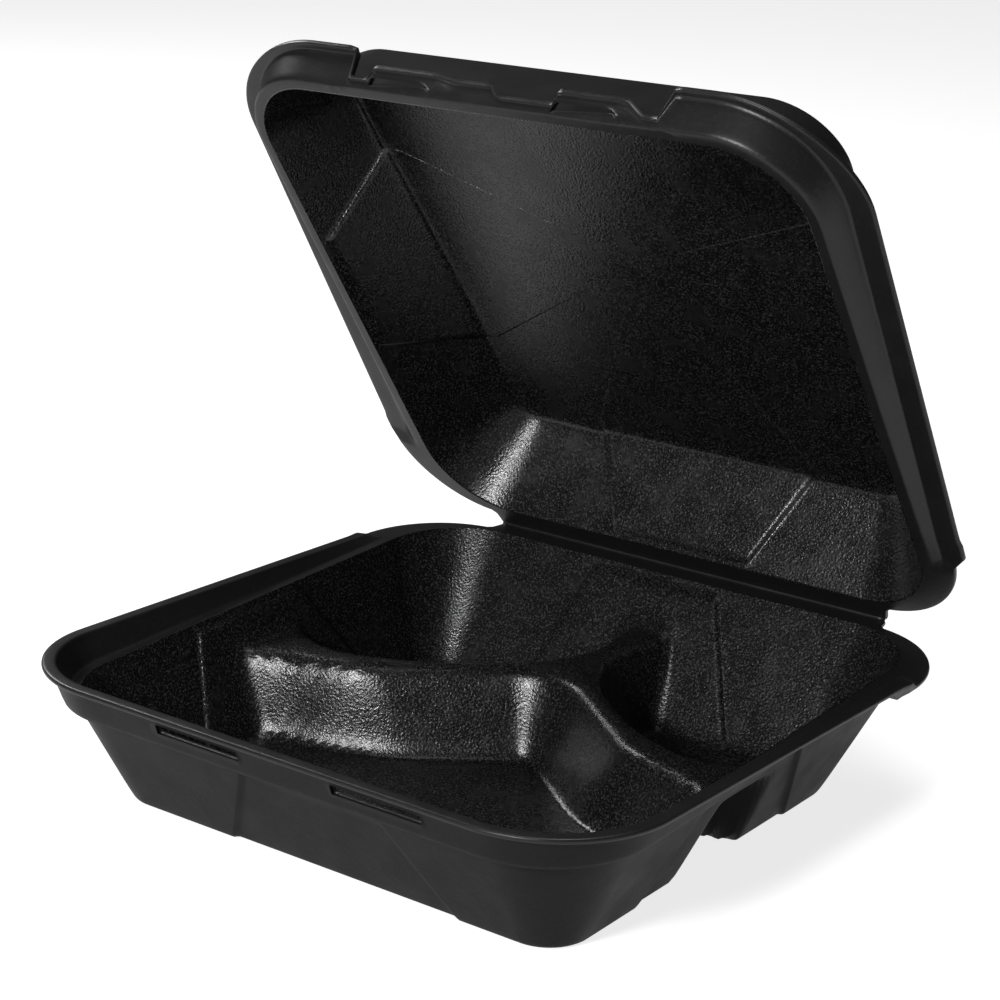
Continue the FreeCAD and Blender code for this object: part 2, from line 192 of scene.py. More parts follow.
# %% [markdown]
# ## Outlines
#
# Floors, openings and rims are rounded rectangles.  The same number of stations runs
# round each of them, so that skins can be stretched from one to the next.  A panel that
# stiffens a wall has slanted sides: its two edges are stations too, closer together at
# the rim than at the foot, so that the crease follows the mesh and stays crisp.

# %% Stations round a loop
# Half width in front and at the back, front and back place, front and back corner radius.
TRAY_FOOT = np.array([87.3, 84.3, -83.8, 76.8, 12.0, 12.0])
LID_FOOT = np.array([97.5, 82.0, -88.4, 86.6, 22.0, 12.0])
WELLS = np.array([105.0, 105.0, -102.5, 107.1, 28.5, 30.0])
OUTWARD = np.array([1, 1, -1, 1, 1, 1])         # what makes any of them larger all round
SIDE_STATIONS = ((20, 26, 20), (22, 30, 18), (20, 26, 20), (18, 30, 22))
CORNER_STATIONS = 26


def shares(count, tight_start, tight_end):
    """Even shares from 0 up to 1, with two extra close ones where a panel edge is."""
    even = np.linspace(0.0, 1.0, count, endpoint=False)
    start = [0.010, 0.024] if tight_start else []
    end = [0.976, 0.990] if tight_end else []
    return np.unique(np.concatenate([even, start, end]))


def loop(outline, knots):
    """Points round a rounded rectangle, seen from above against the clock from the front left.

    A side is a straight line, cut at its two knots and sampled in even shares; a corner
    is an arc through even angles from one tangent point to the next.
    """
    half_front, half_back, y_front, y_back, r_front, r_back = outline
    corners = np.array([(-half_front, y_front), (half_front, y_front),
                        (half_back, y_back), (-half_back, y_back)])
    radii = (r_front, r_front, r_back, r_back)
    arcs = []
    for k, radius in enumerate(radii):
        here, before, after = corners[k], corners[k - 1], corners[(k + 1) % 4]
        back = (before - here) / np.linalg.norm(before - here)
        ahead = (after - here) / np.linalg.norm(after - here)
        half = np.arccos(np.clip(back @ ahead, -1, 1)) / 2
        middle = (back + ahead) / np.linalg.norm(back + ahead)
        centre = here + middle * radius / np.sin(half)
        first, last = here + back * radius / np.tan(half), here + ahead * radius / np.tan(half)
        arcs.append((centre, first, last, radius))
    points = []
    for k in range(4):
        start, end = arcs[k][2], arcs[(k + 1) % 4][1]
        axis = k % 2
        marks = [start[axis], *knots[k], end[axis]]
        for part, count in enumerate(SIDE_STATIONS[k]):
            share = shares(count, part > 0, part < 2)
            place = marks[part] + (marks[part + 1] - marks[part]) * share
            along = (place - start[axis]) / (end[axis] - start[axis])
            points.append(start + along[:, None] * (end - start))
        centre, first, last, radius = arcs[(k + 1) % 4]
        a, b = (np.arctan2(*(p - centre)[::-1]) for p in (first, last))
        turn = a + ((b - a) % (2 * np.pi)) * np.arange(CORNER_STATIONS) / CORNER_STATIONS
        points.append(centre + radius * np.stack([np.cos(turn), np.sin(turn)], axis=1))
    return np.concatenate(points)


def side_marks():
    """For each station: its side, or -1 in a corner, then its corner and how far round it is."""
    side, corner, share = [], [], []
    for k in range(4):
        count = sum(len(shares(c, p > 0, p < 2)) for p, c in enumerate(SIDE_STATIONS[k]))
        side += [k] * count + [-1] * CORNER_STATIONS
        corner += [-1] * count + [(k + 1) % 4] * CORNER_STATIONS
        share += [0.0] * count + list(np.arange(CORNER_STATIONS) / CORNER_STATIONS)
    return np.array(side), np.array(corner), np.array(share)


SIDE, CORNER, SHARE = side_marks()
print("stations round the box", len(SIDE))

# %% [markdown]
# ## The rim's two edges
#
# The rim runs from the edge of the wells out to the edge of the lip.  At the front and
# the sides both edges are rounded rectangles with the same corner centres.  At the back
# the plain flange is straight along the hinge and has a small notch at each end of it.

# %% Edge of the wells and edge of the rim
RIM_HALF, RIM_FRONT, RIM_RADIUS = 117.5, -115.0, 41.0
FLANGE_HALF, FLANGE_RADIUS = 118.0, 37.5    # half width and corner radius of the back flange
FLANGE_V = 43.65                            # from the hinge line to the corner's centre
HINGE_END, HINGE_AIR = 83.0, 0.15           # end of the hinge, and the flange's gap to its line
NOTCH_SHARE = 0.05                          # share of the corner that the notch takes
SIDE_SHIFT = 5.15                           # the rim's stations lie this far behind the wells'


def flange_corner(share):
    """Back corner of the flange: a small notch beside the hinge, then an arc."""
    notch = np.clip(share / NOTCH_SHARE, 0, 1)
    turn = np.clip((share - NOTCH_SHARE) / (1 - NOTCH_SHARE), 0, 1)
    angle = np.radians(6.0 + 84.0 * turn)
    x = FLANGE_HALF - FLANGE_RADIUS + FLANGE_RADIUS * np.sin(angle)
    v = FLANGE_V - FLANGE_RADIUS * np.cos(angle)
    start = share < NOTCH_SHARE
    return np.where(start, HINGE_END + 1.4 * notch, x), np.where(start, HINGE_AIR + 6.2 * notch, v)


def rim_edges(knots):
    """Edge of the wells and edge of the rim, station by station."""
    wells = loop(WELLS, knots)
    edge = loop((RIM_HALF, RIM_HALF, RIM_FRONT, HINGE_Y, RIM_RADIUS, FLANGE_V), knots)
    edge[:, 1] = np.where(SIDE >= 0, wells[:, 1], edge[:, 1])
    on_back = SIDE == 2
    edge[on_back] = np.stack([wells[on_back, 0] * HINGE_END / 75.0,
                              np.full(on_back.sum(), HINGE_Y - HINGE_AIR)], axis=1)
    edge[SIDE == 0, 1] = RIM_FRONT
    for corner, sign in ((2, 1), (3, -1)):
        here = CORNER == corner
        share = 1 - SHARE[here] if sign > 0 else SHARE[here]
        x, v = flange_corner(share)
        edge[here] = np.stack([sign * x, HINGE_Y - v], axis=1)
    on_sides = (SIDE == 1) | (SIDE == 3)
    v = HINGE_Y - wells[on_sides, 1]
    edge[on_sides, 0] = np.sign(wells[on_sides, 0]) * (
        RIM_HALF + (FLANGE_HALF - RIM_HALF) * ease(-v, -52.0, -44.0))
    edge[on_sides, 1] = wells[on_sides, 1] - SIDE_SHIFT * (1 - ease(v, 38.5, 52.0))
    return wells, edge


def at_step(wells, edge, step):
    """Points between the two edges, given their distance from the rim's edge."""
    return wells + (edge - wells) * ((RIM_STEP - np.asarray(step)) / RIM_STEP)[..., None]


# %% [markdown]
# ## From grids to a mesh
#
# A skin is a stack of rings with the same stations, from a pole in the middle of the
# inside, out over the rim, and back to a pole in the middle of the outside.  It is one
# closed surface, as the sheet is.  Faces can be left out to open a slot, and then the
# two skins are bridged round its edge.

# %% Mesh from rings
def make_object(name, points, faces, body):
    """Mesh object at the origin, in metres, smooth, riding on a CAD body."""
    mesh = bpy.data.meshes.new(name)
    mesh.from_pydata((points / 1000.0).tolist(), [], faces)
    mesh.shade_smooth()
    mesh.validate()
    obj = bpy.data.objects.new(name, mesh)
    bpy.context.scene.collection.objects.link(obj)
    if body:
        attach(obj, body)
    print(name, "points", len(points), "faces", len(faces))
    return obj


def ring_mesh(rings, inner_pole, outer_pole, holes=(), flip=False):
    """Points and faces of a closed skin.

    rings has shape (ring, station, 3).  Quads join each ring to the next; a fan closes
    each pole.  A hole is (inner rows, outer rows, stations): the quads in both ranges
    are left out and the two skins are joined round the opening.
    """
    count, around = rings.shape[:2]
    index = np.arange(count * around).reshape(count, around)
    after = np.roll(index, -1, axis=1)
    keep = np.ones((count - 1, around), bool)
    extra = []
    for (low, high), (far_low, far_high), (start, end) in holes:
        keep[low:high, start:end] = False
        keep[far_low:far_high, start:end] = False
        cells = np.arange(start, end)
        near, far = index[low:high + 1], index[far_low:far_high + 1][::-1]
        for row, turn in ((0, 1), (-1, -1)):
            strip = np.stack([near[row, cells], near[row, cells + 1],
                              far[row, cells + 1], far[row, cells]], 1)
            extra.append(strip[:, ::turn])
        rows = np.arange(len(near) - 1)
        for column, turn in ((start, -1), (end, 1)):
            strip = np.stack([near[rows, column], near[rows + 1, column],
                              far[rows + 1, column], far[rows, column]], 1)
            extra.append(strip[:, ::turn])
    quads = np.stack([index[:-1], index[1:], after[1:], after[:-1]], axis=-1)[keep]
    if extra:
        quads = np.concatenate([quads] + extra)
    fans = []
    for pole, ring, turn in ((count * around, 0, 1), (count * around + 1, -1, -1)):
        fan = np.stack([np.full(around, pole), index[ring], after[ring]], axis=1)
        fans.append(fan[:, ::turn])
    points = np.concatenate([rings.reshape(-1, 3), [inner_pole, outer_pole]])
    turn = -1 if flip else 1
    return points, quads[:, ::turn].tolist() + np.concatenate(fans)[:, ::turn].tolist()


print("a ring has", len(SIDE), "stations, so each band of a skin has as many quads")

# %% [markdown]
# ## The base tray
#
# On the real box the tray is drawn from one flat sheet, so inside and outside follow
# each other at one thickness.  Solid modelling would need a shell operation and dozens
# of fillets.  Here each ring of the skin is placed by a formula instead: rings on the
# wall run from the floor's outline to the opening, rings on the floor close in to the
# middle, and the height is the tray's or the ridge's, whichever is higher.

# %% Walls and floor of the tray
TRAY_KNOTS = {"foot": ((-37.0, 53.0), (-45.0, 45.0), (45.0, -45.0), (45.0, -45.0)),
              "rim": ((-17.0, 33.0), (-31.0, 19.0), (19.0, -31.0), (19.0, -31.0))}
PANEL_STEP = 1.5                    # the stiffening panels stand in by this much
TRAY_MIDDLE = np.array([0.0, 36.0])
INWARD = np.array([(0, 1), (-1, 0), (0, -1), (1, 0)])
CLOSE_SHARES = (0.01, 0.02, 0.05, 0.92, 0.95, 0.985)    # extra rings near foot and opening


def panel_mask(outline, knots):
    """One on the stations of a stiffening panel, zero elsewhere, eased over 1.4 mm."""
    mask = np.zeros(len(outline))
    for k in range(4):
        here = SIDE == k
        place = outline[here, k % 2]
        low, high = min(knots[k]), max(knots[k])
        mask[here] = ease(place, low - 0.7, low + 0.7) * (1 - ease(place, high - 0.7, high + 0.7))
    return mask


def panel_push(mask):
    """How a panel moves its stations: straight into the tray."""
    push = np.zeros((len(mask), 2))
    for k in range(4):
        push[SIDE == k] = INWARD[k]
    return push * mask[:, None] * PANEL_STEP


def outward(outline):
    """Unit normals of an outline in plan, from the difference of neighbouring stations."""
    along = np.roll(outline, -1, axis=0) - np.roll(outline, 1, axis=0)
    normal = np.stack([along[:, 1], -along[:, 0]], axis=1)
    return normal / np.linalg.norm(normal, axis=1, keepdims=True)


def bowl_rings(foot, opening, push, middle, wall_shares, floor_steps, floor_rings, soft):
    """Plan places and wall shares of a bowl's rings, from the middle out to the opening.

    On the wall a ring is the foot outline moved toward the opening by its share.  Near
    the foot the rings are offsets into the floor, and the rest shrink to the middle.
    """
    run = np.linalg.norm(opening - foot, axis=1)
    last = foot + push - outward(foot) * floor_steps[-1]
    rings, heights = [], []
    for share in np.linspace(1.0, 0.0, floor_rings, endpoint=False)[::-1]:
        rings.append(middle + (last - middle) * share)
        heights.append(ramp(-floor_steps[-1] / run, soft) * share ** 6)
    for step in floor_steps[-2::-1]:
        rings.append(foot + push - outward(foot) * step)
        heights.append(ramp(-step / run, soft))
    for share in wall_shares:
        fade = 1 - ease(share, 0.90, 0.97)
        rings.append(foot + (opening - foot) * share + push * fade)
        heights.append(ramp(share, soft) * np.ones(len(run)))
    top = ramp(1.0, soft)
    return np.array(rings), np.array(heights) / top


# %% [markdown]
# The rim's section is a row of places: how far each is from the rim's edge, how far it
# has climbed from the ledge to the lip, and how far below the top skin it lies.  Within
# 45 mm of the hinge the real rim has no collar, so the climb is taken out there.

# %% Rim of the tray
LEAN = 4.0                          # collar and rise lean out by this much over their height
COLLAR = (0.12, 0.30, 0.40, 0.50, 0.60, 0.74, 0.90)     # slot between 0.30 and 0.60
LATCH_SLOTS = ((-49.0, -12.0), (22.0, 57.0))            # from left to right, in the front collar
OUTER_COLLAR = (0.93, 0.765, 0.665, 0.565, 0.465, 0.30, 0.14)


def base_rim_rows():
    """Section of the rim from the edge of the wells round the lip and back under it."""
    rows = [(12.1, 0, 0), (11.3, 0, 0), (9.6, 0, 0), (8.9, 0, 0), (8.45, 0.015, 0)]
    rows += [(8.5 - LEAN * h, h, 0) for h in COLLAR]
    rows += [(4.65, 0.975, 0), (4.35, 0.997, 0), (3.8, 1, 0), (1.1, 1, 0), (0.45, 1, -0.08),
             (0.12, 1, -0.38), (0, 1, -0.9), (0.12, 1, -1.42), (0.45, 1, -1.72), (1.1, 1, -1.8),
             (2.4, 1, -1.8)]
    rows += [(6.7 - LEAN * h, h, -1.8) for h in OUTER_COLLAR]
    rows += [(6.75, 0.01, -1.8), (7.3, 0, -1.8), (9.6, 0, -1.8), (10.2, 0, -1.8)]
    return rows


def base_rim_rings(wells, edge):
    """Rings of the base rim: plan places between the two edges, heights from the section."""
    rings = []
    for step, climb, drop in base_rim_rows():
        plan = at_step(wells, edge, np.full(len(wells), step))
        seat = seat_z(plan[:, 1])
        v = HINGE_Y - edge[:, 1]
        start = (55.0, 56.2) if drop < -1.5 else (44.4, 45.6)
        climb_here = climb * ease(v, *start)
        rings.append(np.column_stack([plan, seat + (BASE_RIM - seat) * climb_here + drop]))
    return np.array(rings)


print("rows in the rim's section", len(base_rim_rows()))

# %% [markdown]
# The rings cross the ridge at a slant, and shading from the faces alone would show steps
# along its foot.  The height is a known function, so its slope is too.  Each skin gives
# its normals with its points: the tub's slope from the grid, the ridge's from small
# differences of its formula, and on the fillet the mix that the fillet itself has.

# %% Skins of the tray, with their normals
def stations_between(outline, low, high):
    """First and last station of the front side whose x lies between two values."""
    found = np.nonzero((SIDE == 0) & (outline[:, 0] > low) & (outline[:, 0] < high))[0]
    return int(found[0]), int(found[-1])


def grid_slope(surface):
    """Slope in x and y of a grid of points, from the cross product of its two directions."""
    along = np.roll(surface, -1, axis=1) - np.roll(surface, 1, axis=1)
    normal = np.cross(np.gradient(surface, axis=0), along)
    return -normal[..., :2] / normal[..., 2:]


def ridge_slope(x, y, form, tiny=0.03):
    """Slope of the ridge in x and y, from small differences of its height."""
    across = ridge_height(x + tiny, y, *form) - ridge_height(x - tiny, y, *form)
    along = ridge_height(x, y + tiny, *form) - ridge_height(x, y - tiny, *form)
    return np.stack([across, along], axis=-1) / (2 * tiny)


def ridge_share(tub, ridge, fillet):
    """How much of the slope is the ridge's: 1 on it, 0 off it, and in between on the fillet."""
    near = np.clip(fillet - np.abs(tub - ridge), 0.0, None) / fillet
    return np.where(ridge > tub, 1 - near / 2, near / 2)


def tray_skin(sheet, wells):
    """Rings and normals of the inside skin for a sheet, or of the outside skin for sheet 0."""
    grow = SHEET - sheet
    foot = loop(TRAY_FOOT + OUTWARD * grow, TRAY_KNOTS["foot"])
    opening = wells + outward(wells) * grow
    push = panel_push(panel_mask(wells, TRAY_KNOTS["rim"]))
    if sheet:
        wall = np.unique(np.concatenate([np.linspace(0, 1, 30), CLOSE_SHARES]))
        steps, inner, soft = (0.7, 1.5, 2.6, 4.0, 6.0), 84, 0.06
    else:
        wall = np.unique(np.concatenate([np.linspace(0, 0.99, 20), [0.015, 0.03, 0.93]]))
        steps, inner, soft = (0.8, 2.0, 4.0), 52, 0.05
    plan, climb = bowl_rings(foot, opening, push, TRAY_MIDDLE, wall, steps, inner, soft)
    seat = seat_z(opening[:, 1]) - (0.0 if sheet else RIM_SHEET)
    tub = sheet + climb * (seat - sheet)
    x, y = plan[..., 0], plan[..., 1]
    if sheet:
        form, fillet = INSIDE_RIDGE, FOOT_FILLET
    else:
        form, fillet = UNDER_RIDGE, GROOVE_FILLET
    ridge = ridge_height(x, y, *form)
    share = ridge_share(tub, ridge, fillet) * (climb < 0.9)
    height = np.where(climb > 0.9, tub, soft_max(tub, ridge, fillet))
    tub_slope = grid_slope(np.concatenate([plan, tub[..., None]], axis=2))
    slope = tub_slope + (ridge_slope(x, y, form) - tub_slope) * share[..., None]
    normal = np.concatenate([-slope, np.ones_like(slope[..., :1])], axis=2)
    normal /= np.linalg.norm(normal, axis=2, keepdims=True)
    return np.concatenate([plan, height[..., None]], axis=2), normal * (1 if sheet else -1)


print("skins are ready to be made for sheets of", SHEET, "mm")

# %% Assemble the tray
wells, edge = rim_edges(TRAY_KNOTS["rim"])
inside, inside_normals = tray_skin(SHEET, wells)
rim = base_rim_rings(wells, edge)
outside, outside_normals = (part[::-1] for part in tray_skin(0.0, wells))
tray_rings = np.concatenate([inside, rim, outside])
first_rim = len(inside)
inner_slot = (first_rim + 6, first_rim + 9)     # rows of the collar between 0.30 and 0.60
outer_slot = (first_rim + 24, first_rim + 27)
slots = [(inner_slot, outer_slot, stations_between(edge, low, high)) for low, high in LATCH_SLOTS]
middle_z = ridge_height(*TRAY_MIDDLE, *INSIDE_RIDGE)
under_z = ridge_height(*TRAY_MIDDLE, *UNDER_RIDGE)
points, faces = ring_mesh(tray_rings, (*TRAY_MIDDLE, middle_z), (*TRAY_MIDDLE, under_z), slots)
tray = make_object("base_foam_tray", points, faces, "base")
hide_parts("base_tray")

# %% [markdown]
# The rim keeps the normals that its faces give, because its rings follow its folds.  The
# points of the two skins come before and after it, so theirs replace the first and the
# last ones; the two poles, at the very end, are left alone.

# %% Normals of the tray
tray_normals = np.empty(len(points) * 3)
tray.data.vertices.foreach_get("normal", tray_normals)
tray_normals = tray_normals.reshape(-1, 3)
tray_normals[:inside[..., 0].size] = inside_normals.reshape(-1, 3)
tray_normals[-2 - outside[..., 0].size:-2] = outside_normals.reshape(-1, 3)
tray.data.normals_split_custom_set_from_vertices(tray_normals.tolist())
print("normals from the slope on", inside[..., 0].size + outside[..., 0].size, "points")

# %% [markdown]
# ## The lid
#
# The lid is the same kind of skin, upside down: a shallow dome with leaning walls, a
# ledge that sits on the base's ledge, a leaning rise and a lip that covers the base lip.
# It is worked out shut, where its sizes are simple, and then swung open about the hinge
# line by a plain rotation of all its points.

# %% Shape of the lid, shut
LID_KNOTS = {"foot": ((-49.0, 20.0), (-45.0, 45.0), (45.0, -45.0), (45.0, -45.0)),
             "rim": ((-48.4, 22.8), (-27.0, 23.0), (27.5, -27.5), (23.0, -27.0))}
LID_MIDDLE = np.array([0.0, -8.0])
DOME = 33.07                        # from the hinge line up to the top panel, inside


def swing(points, angle):
    """Turn points about the hinge line; a positive angle opens the lid."""
    y, z = points[..., 1] - HINGE_Y, points[..., 2] - HINGE_Z
    turned = np.array(points, float)
    turned[..., 1] = HINGE_Y + y * np.cos(angle) + z * np.sin(angle)
    turned[..., 2] = HINGE_Z - y * np.sin(angle) + z * np.cos(angle)
    return turned


# %% [markdown]
# Between the corner lips the lid's front is trimmed low.  Two tabs and a flap stand up
# from that line, and the tabs snap into the slots of the base's collar.  They could be
# plates set on the lid, but they were cut and pressed in the same sheet, so they are
# changes to the rim's section: along the front, how much of the rise is left, how far it
# bulges, and where a slit beneath each tab closes up to the right.

# %% Front of the lid
SIDE_LIP, FRONT_LIP, TRIMMED = -3.0, 2.4, 4.2   # where the lip ends, from the base rim's edge
CUT_LEFT, CUT_RIGHT, LOBE = -57.0, 61.0, 4.0    # the trimmed stretch, and the lip's round ends
LOW, TALL = 0.22, 0.52                          # shares of the rise that are left
TABS = ((-48.6, -47.4, -22.0, -14.0), (22.6, 23.8, 48.0, 56.0))
FLAP = (-50.0, -48.4, -1.5, 1.5)
TAB_BULGE = 1.5                                 # the tabs stand out from the rise by this much
WINDOWS = ((-48.5, -25.0), (22.7, 46.0))        # slits beneath the two tabs
WINDOW_TOP, WINDOW_CLOSE = 0.62, 0.8            # a slit's top row, and how far it closes
PLEAT_X, PLEAT_HALF, PLEAT_DEPTH = 63.0, 5.0, 3.4   # a pinch in the ledge beside each corner lip


def hump(x, start, full, fade, end):
    """Smooth rise from start to full, and a smooth fall from fade to end."""
    return ease(x, start, full) * (1 - ease(x, fade, end))


def front_flap(x):
    """Along the front: how much of the rise is left, where the tabs are, and the slits' taper."""
    on_front = (SIDE == 0) & (x > CUT_LEFT) & (x < CUT_RIGHT)
    tab = sum(hump(x, *places) for places in TABS) * on_front
    left = np.where(on_front, LOW + (TALL - LOW) * np.maximum(tab, hump(x, *FLAP)), 1.0)
    taper = sum(np.where((x >= a) & (x <= b), (x - a) / (b - a), 0.0) for a, b in WINDOWS)
    return left, tab, taper * on_front


def lip_edge_step(edge):
    """Where the lip ends: past the base rim's edge at the sides and behind it at the front."""
    step = np.full(len(edge), SIDE_LIP)
    front = (SIDE == 0) | (CORNER == 0) | (CORNER == 1)
    toward = np.where(CORNER == 1, SHARE, np.where(CORNER == 0, 1 - SHARE, 0.0))
    step[front] = (FRONT_LIP + (SIDE_LIP - FRONT_LIP) * ease(toward, 0.0, 1.0) ** 2)[front]
    beyond = np.abs(edge[:, 0]) - np.where(edge[:, 0] < 0, -CUT_LEFT, CUT_RIGHT)
    cut = (SIDE == 0) & (beyond < LOBE)
    lobe = np.sqrt(np.clip(beyond / LOBE, 0.0, 1.0))
    step[cut] = (TRIMMED + (FRONT_LIP - TRIMMED) * lobe)[cut]
    flange = (HINGE_Y - edge[:, 1] < 40.5) & (SIDE != 0)
    step[flange] = 0.0
    return step


def lid_rim_rows(lip_end):
    """Section of the lid's rim: steps from the edge, shares of the climb, and lifts.

    Ledge, rise and lip below, then round the lip's edge and back over the top of them.
    """
    rows = [(12.5, 0, 0.0), (11.6, 0, 0.0), (9.7, 0, 0.0), (9.1, 0.02, 0.0)]
    rows += [(8.9 - LEAN * h, h, 0.0) for h in (0.12, 0.26, 0.38, 0.50, 0.62, 0.74, 0.88)]
    rows += [(5.0, 0.985, 0.0), (4.6, 1.0, 0.0)]
    rows += [(4.6 + (lip_end - 4.6) * share, 1.0, lift) for share, lift in
             ((0.12, 0), (0.5, 0), (0.86, 0), (0.96, 0.1), (0.99, 0.4), (1.0, 0.9),
              (0.99, 1.4), (0.96, 1.7), (0.86, RIM_SHEET), (0.6, RIM_SHEET))]
    rows += [(10.2 - LEAN * h, h, RIM_SHEET) for h in (0.97, 0.80, 0.62, 0.44, 0.26, 0.10, 0.0)]
    return rows


def lid_rim_rings(wells, edge):
    """Rings of the lid's rim: the section, changed along the front by flap, tabs and pleats."""
    x = edge[:, 0]
    height_left, tab, taper = front_flap(x)
    near_pleat = np.clip(1 - np.abs(np.abs(x) - PLEAT_X) / PLEAT_HALF, 0.0, 1.0)
    pleat = np.where(edge[:, 1] < -100.0, near_pleat, 0.0)
    has_collar = ease(HINGE_Y - edge[:, 1], 39.0, 41.0)
    rings = []
    for number, (step, climb, lift) in enumerate(lid_rim_rows(lip_edge_step(edge))):
        if number in (1, 2):
            step = np.maximum(step - PLEAT_DEPTH * pleat, 9.2)
        if 0.1 < climb < 0.6:
            added = (WINDOW_TOP - climb) * WINDOW_CLOSE * taper
            climb, step = climb + added, step - LEAN * added
        bulge = TAB_BULGE * tab * ease(climb, 0.55, 0.68)
        plan = at_step(wells, edge, step + LEAN * climb * (1 - height_left) - bulge)
        seat = seat_z(plan[:, 1]) + LID_GAP
        share = climb * height_left * has_collar
        rings.append(np.column_stack([plan, seat + (LID_RIM - seat) * share + lift]))
    return np.array(rings)


def lid_skin(sheet, wells):
    """Rings of the dome: inside skin for sheet 0, outside skin for a sheet."""
    foot = loop(LID_FOOT + OUTWARD * sheet, LID_KNOTS["foot"])
    opening = wells - outward(wells) * (LID_GAP - sheet * 0.8)
    mask = panel_mask(wells, LID_KNOTS["rim"])
    mask[SIDE == 0] = 0.0
    push = panel_push(mask)
    if sheet:
        wall = np.unique(np.concatenate([np.linspace(0, 0.99, 20), [0.02, 0.05]]))
        steps, inner, soft = (0.8, 2.0, 4.0), 20, 0.07
    else:
        wall = np.unique(np.concatenate([np.linspace(0, 1, 28), CLOSE_SHARES]))
        steps, inner, soft = (0.7, 1.5, 2.6, 4.0, 6.0), 34, 0.07
    plan, climb = bowl_rings(foot, opening, push, LID_MIDDLE, wall, steps, inner, soft)
    seat = seat_z(opening[:, 1]) + LID_GAP + (RIM_SHEET if sheet else 0.0)
    top = HINGE_Z + DOME + sheet - (HINGE_Y - plan[..., 1]) * LID_FALL
    height = top + climb * (seat - top)
    return np.concatenate([plan, height[..., None]], axis=2)


print("tabs from", TABS[0][0], "to", TABS[0][3], "and from", TABS[1][0], "to", TABS[1][3])

# %% Assemble the lid and swing it open
lid_wells, lid_edge = rim_edges(LID_KNOTS["rim"])
lid_inside = lid_skin(0.0, lid_wells)
lid_rim = lid_rim_rings(lid_wells, lid_edge)
lid_outside = lid_skin(SHEET, lid_wells)[::-1]
lid_rings = np.concatenate([lid_inside, lid_rim, lid_outside])
top_z = HINGE_Z + DOME - (HINGE_Y - LID_MIDDLE[1]) * LID_FALL
poles = swing(np.array([(*LID_MIDDLE, top_z), (*LID_MIDDLE, top_z + SHEET)]), OPEN)
start = len(lid_inside)
windows = [((start + 5, start + 8), (start + 25, start + 28), stations_between(lid_edge, low, high))
           for low, high in WINDOWS]
lid_points, lid_faces = ring_mesh(swing(lid_rings, OPEN), poles[0], poles[1], windows, flip=True)
lid = make_object("lid_foam_dome", lid_points, lid_faces, "lid")
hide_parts("lid")

# %% [markdown]
# ## The hinge
#
# At the back the sheet is pressed thin along a line, and that strip bends when the lid
# opens.  It could be left to the gap between the two rims, but light would show through,
# so it is a narrow curved band from one flange to the other.  It follows the base at one
# edge and the lid at the other, and turns smoothly between them.

# %% Hinge strip
HINGE_HALF, STRIP = 82.6, 0.55      # half length and thickness


def hinge_strip():
    """A band along X: a bent line in section, given its thickness along its normals."""
    along_lid = np.array([-np.cos(OPEN), np.sin(OPEN)])
    off_lid = np.array([np.sin(OPEN), np.cos(OPEN)])
    start = np.array([-1.1, -0.42])                 # on the base's flange
    end = along_lid * 1.1 + off_lid * 0.85          # on the lid's flange
    bend = np.array([0.34, -0.10])                  # just behind the hinge line
    share = np.linspace(0, 1, 13)[:, None]
    middle = start * (1 - share) ** 2 + 2 * bend * share * (1 - share) + end * share ** 2
    along = np.gradient(middle, axis=0)
    normal = np.stack([along[:, 1], -along[:, 0]], axis=1)
    normal /= np.linalg.norm(along, axis=1, keepdims=True)
    section = np.concatenate([middle + normal * STRIP / 2, (middle - normal * STRIP / 2)[::-1]])
    x = np.linspace(-HINGE_HALF, HINGE_HALF, 60)
    count = len(section)
    grid = np.empty((len(x), count, 3))
    grid[..., 0] = x[:, None]
    grid[..., 1:] = section + np.array([HINGE_Y, HINGE_Z])
    index = np.arange(len(x) * count).reshape(len(x), count)
    after = np.roll(index, -1, axis=1)
    quads = np.stack([index[:-1], after[:-1], after[1:], index[1:]], axis=-1).reshape(-1, 4)
    half = count // 2
    ends = []
    for row, turn in ((0, -1), (-1, 1)):            # each end is closed by a row of quads
        near, far = index[row, :half], index[row, half:][::-1]
        ends.append(np.stack([near[:-1], near[1:], far[1:], far[:-1]], axis=1)[:, ::turn])
    return grid.reshape(-1, 3), np.concatenate([quads, *ends]).tolist(), start, end


strip_points, strip_faces, strip_start, strip_end = hinge_strip()
hinge = make_object("hinge_strip", strip_points, strip_faces, None)
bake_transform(hinge)

# %% [markdown]
# ## Foam finishes
#
# The sheet is black polystyrene foam with a skin.  Inside, heat and air have opened the
# skin into fine grains that glitter in the light; outside the mould has left it smooth
# and satin.  One recipe serves the three finishes: a fine bump for the grain, a broad
# unevenness in the gloss as hot foam gets from the mould, and rougher specks that catch
# light where the skin around them doesn't.  The specks are also painted a lighter black:
# in the wells this is painted glints that stand in for the glitter, outside and on the
# rim only a faint tone.  The pattern reads Object coordinates, in metres, and so is the
# same size on both halves.

# %% Foam recipe
BROAD_PATCH = 0.012                 # size of the patches of uneven gloss, in metres


def add_noise(nodes, links, place, size, detail):
    """Fractal noise on Object coordinates, with features of a given size in metres."""
    noise = nodes.new("ShaderNodeTexNoise")
    noise.inputs["Scale"].default_value = 1.0 / size
    noise.inputs["Detail"].default_value = detail
    links.new(place.outputs["Object"], noise.inputs["Vector"])
    return noise


def spread(nodes, links, source, low, high, to_low, to_high):
    """Stretch part of a noise's range onto a new range."""
    stretch = nodes.new("ShaderNodeMapRange")
    for name, value in (("From Min", low), ("From Max", high), ("To Min", to_low), ("To Max", to_high)):
        stretch.inputs[name].default_value = value
    links.new(source, stretch.inputs["Value"])
    return stretch.outputs["Result"]


